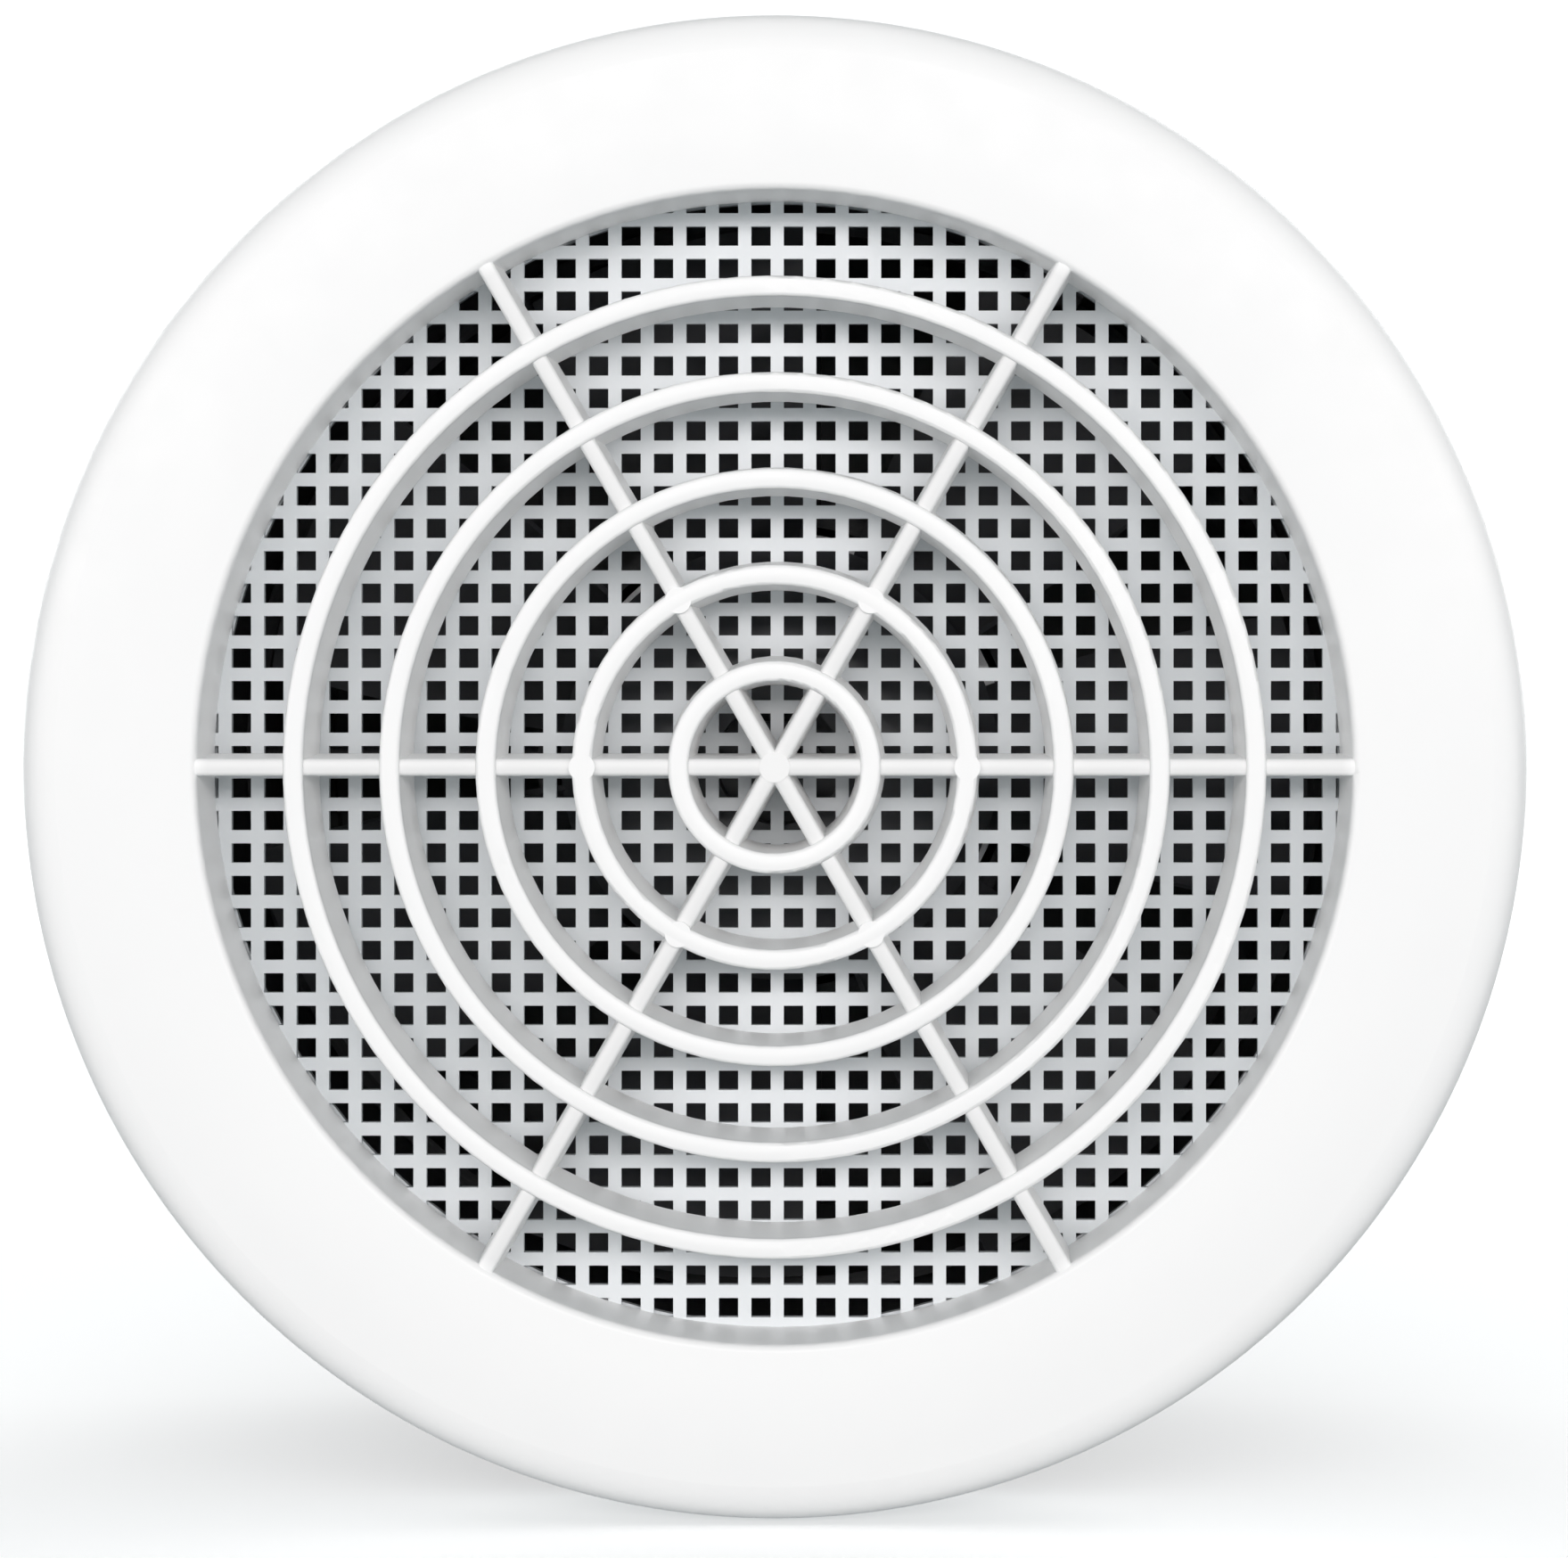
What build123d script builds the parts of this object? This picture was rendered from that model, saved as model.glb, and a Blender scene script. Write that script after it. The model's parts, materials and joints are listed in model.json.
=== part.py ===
from build123d import *
import os
from math import cos, radians, sin

# Wall-mounted axial bathroom extractor fan: a round pull-off front grille with a fly screen, a spigot
# housing for a 120 mm hole, a shaded-pole motor with an axial impeller, and a back-draught shutter.
#
# Millimetres. The fan axis is Y: -Y faces the room and +Y runs into the wall, +Z is up. The origin is
# on the axis in the plane of the wall. Names ending in FRONT and BACK are places on Y.

# ---------------------------------------------------------------- driving dimensions

FACE_R = 72.0  # outside radius of the front grille
FACE_Y = -21.0  # the grille's foremost plane
OPENING_R = 55.1  # clear radius of the grille's opening
RING_COUNT = 5
SPOKE_BARS = (0, 60, 120)  # three bars right across make the six spokes
SCREEN_DEPTH = 12.0  # from the foremost plane back to the fly screen
SCREEN_PITCH = 3.175  # eight openings to the inch
SCREEN_CELL = 1.9  # side of one square opening
SPIGOT_R = 59.0  # outside radius of the spigot, for a 120 mm hole or duct
SPIGOT_WALL = 1.7
SPIGOT_BACK = 76.0
SCREW_CIRCLE_R = 64.5  # wall screws
CORD_R = 2.7  # bore of the cable grommet
IMPELLER_R = 53.8
BLADE_COUNT = 7
ROTOR_R = 11.5
SHAFT_R = 2.5

# ---------------------------------------------------------------- gaps between pieces that touch

PRESS_GAP = 0.02  # pressed on
THREAD_GAP = 0.03
RUNNING_GAP = 0.05
SEAT_GAP = 0.05  # seated, and not meant to move
BOLT_GAP = 0.1
COIL_GAP = 0.2

# ---------------------------------------------------------------- front cover

SHELL = 2.0  # thickness of the bezel's face and outer wall
EDGE_DROP = 0.25  # the domed face falls this much from its crest to each edge
EDGE_ROUND = 0.75  # rounding of the opening's edge
RIM_ROUND = 3.4  # width of the rounded rim
RIM_BACK = -0.8  # the outer wall stops just short of the wall
COLLAR_R = 56.9
COLLAR_BACK = -6.6
LIP_R = 55.0  # the lip that the fly screen sits against
REBATE_R = 56.2
RING_PITCH = OPENING_R / (RING_COUNT + 1)
RING_TOP = 1.9
RING_FOOT = 2.8
SPOKE_TOP = 1.6
SPOKE_FOOT = 2.2
SPOKE_SINK = 0.45  # the spokes' crowns lie this far behind the rings'
RIB_BACK = FACE_Y + 10.0
CROWN_DROP = 0.15  # a rib's crown falls this much from its middle to its shoulders
SHOULDER_R = 0.4
PAD_R = 1.25
PAD_SINK = 0.05  # the pads end this far behind the rings' crowns
HUB_PAD_R = 1.45
HUB_PAD_PROUD = 0.1  # how far it stands out of the spokes' crowns
HOOK_ANGLES = (15, 165, 195, 345)
HOOK_R = 60.9
HOOK_THICK = 1.4
HOOK_WIDTH = 8.0
HOOK_BACK = -8.0
BARB_R = 59.9
BARB_DEEP = 0.6

SCREEN_FRONT = FACE_Y + SCREEN_DEPTH
SCREEN_BACK = SCREEN_FRONT + 1.2
SCREEN_R = 56.1
SCREEN_OPEN_R = 55.6
SCREEN_SHIFT = -0.75  # the screen's centre bar lies a little below the axis
SLIVER_AREA = 0.12  # openings that the rim cuts smaller than this are filled

# ---------------------------------------------------------------- housing and wiring

TUBE_R = SPIGOT_R - SPIGOT_WALL
CHIMNEY_FRONT = -16.0  # the tube runs on forward of the flange, round the grille's collar
BEAD_R = 59.4
FLANGE_R = 69.5
FLANGE_FRONT = -3.5
FLANGE_BACK = -1.5  # a foam gasket fills the rest, up to the wall
SCREW_R = 2.1
SCREW_COUNT = 4
SCREW_START = 45
CABLE_ANGLE = 118
CABLE_R = 64.3
GROMMET_NECK = 9.0  # the grommet slides into a slot this wide, open to the flange's edge
GROMMET_LIP_R = 5.0
GROMMET_LIP = 1.3  # thickness of each lip
GASKET_R = 60.8  # clear of a duct or sleeve pushed up to the flange
GASKET_CUTOUT = (16.0, 12.0)  # outward and across, round the grommet
GASKET_SCREW_R = 3.0

TERMINAL_SIZE = (26.0, 8.6, 10.0)  # across, up and forward of the flange
TERMINAL_Z = 63.9
POLE_OFFSET = 2.6  # each pole's distance from the middle of the block
TERMINAL_SCREW_X = 7.0
TERMINAL_SCREW_R = 1.3
TERMINAL_FIXING_R = 1.0
TERMINAL_NOTCH = (3.4, 1.5)  # across and deep
WIRE_Y = -5.0

LEAD_ANGLE = 60
LEAD_R = 0.8
LEAD_GAP = 1.1  # each lead's distance from the middle of the channel
LEAD_RUN_R = 56.2
LEAD_TURN_Y = 29.0
CHANNEL_INNER_R = 54.6
CHANNEL_WALL = 0.7
CHANNEL_WIDTH = 6.2
CHANNEL_FRONT = -6.0
CHANNEL_BACK = 25.8

# ---------------------------------------------------------------- motor and carrier

CORE_FRONT = 33.0
CORE_BACK = 47.0
CORE_MID = (CORE_FRONT + CORE_BACK) / 2
CORE_R = 22.5
CORE_RING = 4.7
POLE_WIDTH = 8.0
AIR_GAP = 0.5
COIL_WIDTH = 2.2
BELL_R = 23.4
BELL_WALL = 0.85
BELL_FRONT = 25.5
BELL_BACK = 54.5
BELL_PLATE = 0.9
BEARING_R = 4.2
BEARING_LENGTH = 5.0
BEARING_BOSS_R = 5.8
CLIP_THICK = 0.4
BOLT_CIRCLE_R = 19.6
BOLT_R = 1.25
FIXING_ANGLES = (30, 150, 270)  # the motor's through bolts and the carrier's screws

CUP_R = 25.8
CUP_WALL = 1.6
CUP_FRONT = 24.0
PLATE_FRONT = 56.5
PLATE_BACK = 58.5
ARM_COUNT = 6
ARM_FRONT = 30.0
ARM_BACK = 50.0
ARM_THICK = 1.8
ARM_GAP = 0.04  # the arms are drawn this short of the hoop, so that their rounded ends don't cross it
HOOP_R = 57.1
HOOP_WALL = 1.7
HOOP_BOSS_R = 3.4
HOOP_BOSS_END = 51.0  # how near the axis the hoop's screw bosses reach
HOOP_SCREW_R = 1.25
BUSH_R = 2.45
BUSH_LIP_R = 4.0

# ---------------------------------------------------------------- impeller

HUB_R = 22.0
HUB_WALL = 1.6
HUB_NOSE = -2.4
HUB_BACK = 22.0
NUT_SEAT = 3.6
NUT_POCKET_R = 6.2
BOSS_R = 7.8
BLADE_MID = 12.0
BLADE_THICK = 1.8
BLADE_EDGE = 0.7
# radius of the section, pitch from the plane of rotation, chord, camber
BLADE_SECTIONS = ((20.0, 52, 22.0, 2.4), (31.0, 41, 27.0, 2.4), (43.0, 32, 31.0, 2.2), (55.5, 26, 34.0, 2.0))

# ---------------------------------------------------------------- shutter

FRAME_R = 57.1
FRAME_INNER_R = 54.5
FRAME_FRONT = 65.0
FRAME_BACK = 75.0
LEDGE_R = 52.0
LEDGE_BACK = 67.5
POST_WIDTH = 6.8
PIN_Y = 70.6
PIN_R = 1.2
PIN_LENGTH = 113.2
FLAP_R = 53.9
FLAP_FRONT = 68.0
FLAP_BACK = 69.0
FLAP_EDGE = 2.6  # the flaps' inner edges stop this far from the middle
FLAP_RIBS = (-34.0, 0.0, 34.0)
KNUCKLE_R = 2.4
KNUCKLE_LENGTH = 8.0
KNUCKLES = (12.0, 42.0, -26.0)  # middles of the right flap's knuckles; the left's are turned over
SPRING_R = 2.15
SPRING_WIRE = 0.6
SPRING_ENDS = (0.8, 7.8)
SPRING_LEG = 14.0


def across(y):
    """Plane square to the fan axis at y. It faces the room, its x is +X and its y is +Z."""
    return Plane.XZ.offset(-y)


def radial(angle, radius, y):
    """Plane facing straight out from the fan axis. Its x is +Y, and its y runs round the axis."""
    outward = Vector(cos(radians(angle)), 0, sin(radians(angle)))
    return Plane(origin=outward * radius + Vector(0, y, 0), x_dir=(0, 1, 0), z_dir=outward)


def outline(*points):
    """Closed face through (radius, y) points, to be revolved about the fan axis."""
    with BuildSketch(Plane.XY) as face:
        with BuildLine():
            Polyline(*points, close=True)
        make_face()
    return face.sketch


def band(inner, outer, front, back):
    """Rectangular (radius, y) section of a ring."""
    return outline((inner, front), (outer, front), (outer, back), (inner, back))


def rib(middle, top, foot, crown):
    """Section of a moulded rib in (across, y): a low crown towards the room and drafted sides."""
    shoulder = crown + CROWN_DROP
    with BuildSketch(Plane.XY) as face:
        with BuildLine():
            side = Line((middle + foot / 2, RIB_BACK), (middle + top / 2, shoulder))
            arc = ThreePointArc(side @ 1, (middle, crown), (middle - top / 2, shoulder))
            Polyline(arc @ 1, (middle - foot / 2, RIB_BACK), side @ 0)
        make_face()
        fillet(face.vertices().sort_by(Axis.Y)[:2], SHOULDER_R)
    return face.sketch


def save(piece, name):
    """Labels a finished piece and writes its STEP file."""
    piece.part.label = name
    export_step(piece.part, f"parts/{name}.step")


os.makedirs("parts", exist_ok=True)

# ================================================================ front cover

with BuildPart() as front_grille:
    # domed bezel, outer wall and screen collar: one turned shell
    with BuildSketch(Plane.XY):
        with BuildLine():
            edge_y = FACE_Y + EDGE_DROP
            halfway = EDGE_ROUND * (1 - cos(radians(45)))
            throat = Line((LIP_R, SCREEN_FRONT), (OPENING_R, edge_y + EDGE_ROUND))
            edge = ThreePointArc(
                throat @ 1,
                (OPENING_R + halfway, edge_y + halfway),
                (OPENING_R + EDGE_ROUND, edge_y),
            )
            crest_r = (OPENING_R + EDGE_ROUND + FACE_R - RIM_ROUND) / 2
            dome = ThreePointArc(edge @ 1, (crest_r, FACE_Y), (FACE_R - RIM_ROUND, edge_y))
            rim = Spline(dome @ 1, (FACE_R, FACE_Y + 3.0), tangents=(dome % 1, (0, 1)))
            Polyline(
                rim @ 1,
                (FACE_R - 0.2, RIM_BACK),
                (FACE_R - SHELL, RIM_BACK),
                (FACE_R - SHELL, FACE_Y + SHELL + 1.6),
                (FACE_R - SHELL - 1.6, FACE_Y + SHELL + 0.2),
                (COLLAR_R, FACE_Y + SHELL + 0.2),
                (COLLAR_R, COLLAR_BACK),
                (REBATE_R, COLLAR_BACK),
                (REBATE_R, SCREEN_FRONT),
                throat @ 0,
            )
        make_face()
    revolve(axis=Axis.Y)
    for number in range(1, RING_COUNT + 1):
        revolve(rib(number * RING_PITCH, RING_TOP, RING_FOOT, FACE_Y), axis=Axis.Y)
    # the spokes end inside the collar's wall
    spoke = rib(0, SPOKE_TOP, SPOKE_FOOT, FACE_Y + SPOKE_SINK)
    for angle in SPOKE_BARS:
        sideways = (sin(radians(angle)), 0, -cos(radians(angle)))
        along = (cos(radians(angle)), 0, sin(radians(angle)))
        with BuildSketch(Plane(origin=(0, 0, 0), x_dir=sideways, z_dir=along)):
            add(spoke)
        extrude(amount=(LIP_R + COLLAR_R) / 2, both=True)
    # round pads where the second ring crosses the spokes, and one at the middle
    with BuildSketch(across(RIB_BACK)):
        with PolarLocations(2 * RING_PITCH, 2 * len(SPOKE_BARS)):
            Circle(PAD_R)
    extrude(amount=RIB_BACK - FACE_Y - PAD_SINK)
    with BuildSketch(across(RIB_BACK)):
        Circle(HUB_PAD_R)
    extrude(amount=RIB_BACK - FACE_Y - SPOKE_SINK + HUB_PAD_PROUD)
    # tongues that grip the bead on the housing
    for angle in HOOK_ANGLES:
        with BuildSketch(across(HOOK_BACK)):
            with PolarLocations(HOOK_R, 1, angle):
                Rectangle(HOOK_THICK, HOOK_WIDTH)
        extrude(amount=HOOK_BACK - FACE_Y - SHELL + 0.5)
        with BuildSketch(across(HOOK_BACK)):
            with PolarLocations(BARB_R, 1, angle):
                Rectangle(BARB_DEEP, HOOK_WIDTH)
        extrude(amount=1.4)
save(front_grille, "front_grille")

with BuildSketch(Plane.XY) as screen_rim:
    Circle(SCREEN_R)
    Circle(SCREEN_OPEN_R, mode=Mode.SUBTRACT)

with BuildPart() as fly_screen:
    # bars both ways, trimmed to a narrow rim
    screen_bar = SCREEN_PITCH - SCREEN_CELL
    half_count = int(SCREEN_R / SCREEN_PITCH) + 1
    steps = [number * SCREEN_PITCH for number in range(-half_count, half_count + 1)]
    with BuildSketch(across(SCREEN_BACK)) as screen_mesh:
        with Locations(*[(step, 0) for step in steps]):
            Rectangle(screen_bar, 2 * SCREEN_R)
        with Locations(*[(0, step + SCREEN_SHIFT) for step in steps]):
            Rectangle(2 * SCREEN_R, screen_bar)
        Circle((SCREEN_OPEN_R + SCREEN_R) / 2, mode=Mode.INTERSECT)
        add(screen_rim.sketch)
        # openings that the rim cuts to slivers are filled
        openings = [Face(wire) for wire in screen_mesh.face().inner_wires()]
        add([opening for opening in openings if opening.area < SLIVER_AREA])
    extrude(amount=SCREEN_BACK - SCREEN_FRONT)
save(fly_screen, "fly_screen")

with BuildPart() as screen_retaining_ring:
    revolve(band(LIP_R - 0.1, REBATE_R - SEAT_GAP, SCREEN_BACK, COLLAR_BACK), axis=Axis.Y)
save(screen_retaining_ring, "screen_retaining_ring")

# ================================================================ housing and wiring

with BuildPart() as mounting_flange:
    revolve(band(TUBE_R, SPIGOT_R, CHIMNEY_FRONT, FLANGE_BACK), axis=Axis.Y)
    revolve(band(TUBE_R + 0.5, FLANGE_R, FLANGE_FRONT, FLANGE_BACK), axis=Axis.Y)
    # the bead that the grille's tongues slip over
    bead_root = SPIGOT_R - 0.5
    revolve(
        outline((bead_root, -11.9), (BEAD_R, -10.9), (BEAD_R, -10.2), (bead_root, -9.2)),
        axis=Axis.Y,
    )
    with BuildSketch(across(FLANGE_BACK)):
        with PolarLocations(SCREW_CIRCLE_R, SCREW_COUNT, SCREW_START):
            Circle(SCREW_R)
        with PolarLocations(CABLE_R + GROMMET_NECK / 2, 1, CABLE_ANGLE):
            Rectangle(2 * GROMMET_NECK, GROMMET_NECK)
        with Locations((0, TERMINAL_Z)):
            Circle(TERMINAL_FIXING_R + SEAT_GAP)
    extrude(amount=FLANGE_BACK - FLANGE_FRONT, mode=Mode.SUBTRACT)
    # slot that lets the motor leads through the chimney
    slot_front = WIRE_Y - 1.4
    with BuildSketch(radial(LEAD_ANGLE, TUBE_R - 2, (slot_front + FLANGE_FRONT) / 2)):
        Rectangle(FLANGE_FRONT - slot_front, 2 * (LEAD_GAP + LEAD_R) + 0.9)
    extrude(amount=6, mode=Mode.SUBTRACT)
save(mounting_flange, "mounting_flange")

with BuildPart() as fan_housing:
    revolve(band(TUBE_R, SPIGOT_R, FLANGE_BACK, SPIGOT_BACK), axis=Axis.Y)
    # countersunk holes for the screws that hold the motor carrier
    for angle in FIXING_ANGLES:
        with Locations(radial(angle, SPIGOT_R, CORE_MID)):
            CounterSinkHole(radius=1.4, counter_sink_radius=2.6, depth=4)
save(fan_housing, "fan_housing")

with BuildPart() as flange_gasket:
    revolve(band(GASKET_R, FLANGE_R - 0.3, FLANGE_BACK, 0), axis=Axis.Y)
    with BuildSketch(across(0)):
        with PolarLocations(SCREW_CIRCLE_R, SCREW_COUNT, SCREW_START):
            Circle(GASKET_SCREW_R)
        # cut right through, so that the grommet's lip doesn't lift it
        with PolarLocations(CABLE_R, 1, CABLE_ANGLE):
            Rectangle(*GASKET_CUTOUT)
    extrude(amount=-FLANGE_BACK, mode=Mode.SUBTRACT)
save(flange_gasket, "flange_gasket")

with BuildPart() as cable_grommet:
    for back in (FLANGE_FRONT, FLANGE_BACK + GROMMET_LIP):
        with BuildSketch(across(back)):
            with PolarLocations(CABLE_R, 1, CABLE_ANGLE):
                Circle(GROMMET_LIP_R)
        extrude(amount=GROMMET_LIP)
    with BuildSketch(across(FLANGE_BACK)):
        with PolarLocations(CABLE_R, 1, CABLE_ANGLE):
            RectangleRounded(GROMMET_NECK - 2 * SEAT_GAP, GROMMET_NECK - 2 * SEAT_GAP, 0.6)
    extrude(amount=FLANGE_BACK - FLANGE_FRONT)
    # the rear lip is cut short beside the spigot, to clear the duct
    with BuildSketch(across(0)):
        Circle(GASKET_R)
    extrude(amount=-FLANGE_BACK, mode=Mode.SUBTRACT)
    with BuildSketch(across(0)):
        with PolarLocations(CABLE_R, 1, CABLE_ANGLE):
            Circle(CORD_R)
    extrude(amount=10, mode=Mode.SUBTRACT)
save(cable_grommet, "cable_grommet")

pole_places = [
    (side * TERMINAL_SCREW_X, TERMINAL_Z + pole * POLE_OFFSET) for side in (-1, 1) for pole in (-1, 1)
]
block_front = FLANGE_FRONT - TERMINAL_SIZE[2]
with BuildPart() as terminal_block:
    with BuildSketch(across(FLANGE_FRONT)):
        with Locations((0, TERMINAL_Z)):
            RectangleRounded(TERMINAL_SIZE[0], TERMINAL_SIZE[1], 0.8)
    extrude(amount=TERMINAL_SIZE[2])
    # a notch in the front parts the two ends of each pole
    with BuildSketch(across(block_front + TERMINAL_NOTCH[1])):
        with Locations((0, TERMINAL_Z)):
            Rectangle(TERMINAL_NOTCH[0], TERMINAL_SIZE[1])
    extrude(amount=TERMINAL_NOTCH[1], mode=Mode.SUBTRACT)
    with BuildSketch(across(WIRE_Y)):
        with Locations(*pole_places):
            Circle(TERMINAL_SCREW_R + 0.1)
    extrude(amount=WIRE_Y - block_front, mode=Mode.SUBTRACT)
    with BuildSketch(across(FLANGE_FRONT)):
        with Locations((0, TERMINAL_Z)):
            Circle(TERMINAL_FIXING_R + SEAT_GAP)
    extrude(amount=TERMINAL_SIZE[2], mode=Mode.SUBTRACT)
    # wire tunnels, right along each pole
    with BuildSketch(Plane.YZ.offset(-TERMINAL_SIZE[0] / 2)):
        with Locations(*[(WIRE_Y, TERMINAL_Z + pole * POLE_OFFSET) for pole in (-1, 1)]):
            Circle(1.15)
    extrude(amount=TERMINAL_SIZE[0], mode=Mode.SUBTRACT)
save(terminal_block, "terminal_block")

with BuildPart() as terminal_screws:
    with BuildSketch(across(WIRE_Y - LEAD_R - 0.1)):
        with Locations(*pole_places):
            Circle(TERMINAL_SCREW_R)
    extrude(amount=6)
    with BuildSketch(across(WIRE_Y - LEAD_R - 5.4)):
        with Locations(*pole_places):
            Rectangle(3, 0.5)
    extrude(amount=2, mode=Mode.SUBTRACT)
save(terminal_screws, "terminal_screws")

with BuildPart() as terminal_fixing_screw:
    with BuildSketch(across(FLANGE_BACK - 0.1)):
        with Locations((0, TERMINAL_Z)):
            Circle(TERMINAL_FIXING_R)
    extrude(amount=FLANGE_BACK - 0.1 - (block_front + 1.4))
    with BuildSketch(across(block_front + 1.45)):
        with Locations((0, TERMINAL_Z)):
            Circle(1.65)
            Rectangle(0.45, 2.2, mode=Mode.SUBTRACT)
            Rectangle(2.2, 0.45, mode=Mode.SUBTRACT)
    extrude(amount=1.1)
save(terminal_fixing_screw, "terminal_fixing_screw")

with BuildPart() as lead_cover:
    middle = (CHANNEL_FRONT + CHANNEL_BACK) / 2
    with BuildSketch(radial(LEAD_ANGLE, CHANNEL_INNER_R, middle)):
        Rectangle(CHANNEL_BACK - CHANNEL_FRONT, CHANNEL_WIDTH)
    extrude(amount=TUBE_R - 0.2 - CHANNEL_INNER_R)
    with BuildSketch(radial(LEAD_ANGLE, CHANNEL_INNER_R + CHANNEL_WALL, middle)):
        Rectangle(CHANNEL_BACK - CHANNEL_FRONT, CHANNEL_WIDTH - 2 * CHANNEL_WALL)
    extrude(amount=4, mode=Mode.SUBTRACT)
save(lead_cover, "lead_cover")

# Each lead leaves its pole, drops into the slot, runs along under the cover and crosses to the motor.
lead_outward = Vector(cos(radians(LEAD_ANGLE)), 0, sin(radians(LEAD_ANGLE)))
lead_sideways = Vector(-sin(radians(LEAD_ANGLE)), 0, cos(radians(LEAD_ANGLE)))
for name, side, first_bend_x, turn_r in (("live_lead", 1, 15.0, 64.0), ("neutral_lead", -1, 18.0, 62.0)):
    pole_z = TERMINAL_Z + side * POLE_OFFSET
    lane = lead_sideways * (-side * LEAD_GAP)
    stops = [
        Vector(5, WIRE_Y, pole_z),
        Vector(first_bend_x, WIRE_Y, pole_z),
        lead_outward * turn_r + lane + Vector(0, WIRE_Y, 0),
        lead_outward * LEAD_RUN_R + lane + Vector(0, WIRE_Y, 0),
        lead_outward * LEAD_RUN_R + lane + Vector(0, LEAD_TURN_Y, 0),
        lead_outward * (BOLT_CIRCLE_R - 1.3) + lane + Vector(0, LEAD_TURN_Y, 0),
    ]
    with BuildPart() as lead:
        with BuildLine() as route:
            FilletPolyline(*stops, radius=[6.0, 3.0, 1.4, 3.0])
        with BuildSketch(Plane(origin=route.line @ 0, z_dir=route.line % 0)):
            Circle(LEAD_R)
        sweep()
    save(lead, name)

# ================================================================ motor carrier

# The carrier is one moulding: a hoop in the housing, six arms, and a cup round the motor.
with BuildPart() as carrier_hoop:
    revolve(band(HOOP_R - HOOP_WALL, HOOP_R, ARM_FRONT, ARM_BACK), axis=Axis.Y)
    for angle in FIXING_ANGLES:
        with BuildSketch(radial(angle, HOOP_BOSS_END, CORE_MID)):
            Circle(HOOP_BOSS_R)
        extrude(amount=HOOP_R - 0.6 - HOOP_BOSS_END)
    for angle in FIXING_ANGLES:
        with BuildSketch(radial(angle, HOOP_BOSS_END - 1, CORE_MID)):
            Circle(HOOP_SCREW_R + SEAT_GAP)
        extrude(amount=8, mode=Mode.SUBTRACT)
save(carrier_hoop, "carrier_hoop")

with BuildPart() as carrier_arms:
    for number in range(ARM_COUNT):
        with BuildSketch(radial(number * 360 / ARM_COUNT, CUP_R - 0.5, (ARM_FRONT + ARM_BACK) / 2)):
            SlotOverall(ARM_BACK - ARM_FRONT, ARM_THICK)
        extrude(amount=HOOP_R - CUP_R + 0.5)
    with BuildSketch(across(ARM_BACK)):
        Circle(HOOP_R - HOOP_WALL - ARM_GAP)
        Circle(CUP_R, mode=Mode.SUBTRACT)
    extrude(amount=ARM_BACK - ARM_FRONT, mode=Mode.INTERSECT)
save(carrier_arms, "carrier_arms")

with BuildPart() as motor_cup:
    revolve(band(CUP_R - CUP_WALL, CUP_R, CUP_FRONT, PLATE_BACK), axis=Axis.Y)
    revolve(band(8, CUP_R - 0.5, PLATE_FRONT, PLATE_BACK), axis=Axis.Y)
    # holes for the rubber bushes
    with BuildSketch(across(PLATE_BACK)):
        with PolarLocations(BOLT_CIRCLE_R, 3, FIXING_ANGLES[0]):
            Circle(BUSH_R + SEAT_GAP)
    extrude(amount=PLATE_BACK - PLATE_FRONT, mode=Mode.SUBTRACT)
    # notch that lets the leads into the cup
    with BuildSketch(radial(LEAD_ANGLE, CUP_R - CUP_WALL - 1, (CUP_FRONT + ARM_FRONT) / 2)):
        Rectangle(ARM_FRONT - CUP_FRONT, 5.4)
    extrude(amount=CUP_WALL + 1.9, mode=Mode.SUBTRACT)
save(motor_cup, "motor_cup")

with BuildPart() as carrier_screws:
    head_r = SPIGOT_R - 0.15
    for angle in FIXING_ANGLES:
        with BuildSketch(radial(angle, HOOP_BOSS_END + 1, CORE_MID)):
            Circle(HOOP_SCREW_R)
        extrude(amount=head_r - HOOP_BOSS_END - 1)
        with BuildSketch(radial(angle, head_r, CORE_MID)):
            Circle(2.35)
        extrude(amount=-1.2, taper=42)
        with BuildSketch(radial(angle, head_r, CORE_MID)):
            Rectangle(0.5, 2.4)
            Rectangle(2.4, 0.5)
        extrude(amount=-0.7, mode=Mode.SUBTRACT)
save(carrier_screws, "carrier_screws")

with BuildPart() as mount_bushes:
    for radius, front, back in (
        (BUSH_LIP_R, BELL_BACK + SEAT_GAP, PLATE_FRONT),
        (BUSH_R, PLATE_FRONT, PLATE_BACK),
        (BUSH_LIP_R, PLATE_BACK, PLATE_BACK + 1.2),
    ):
        with BuildSketch(across(back)):
            with PolarLocations(BOLT_CIRCLE_R, 3, FIXING_ANGLES[0]):
                Circle(radius)
                Circle(BOLT_R + BOLT_GAP, mode=Mode.SUBTRACT)
        extrude(amount=back - front)
save(mount_bushes, "mount_bushes")

# ================================================================ motor

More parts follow.
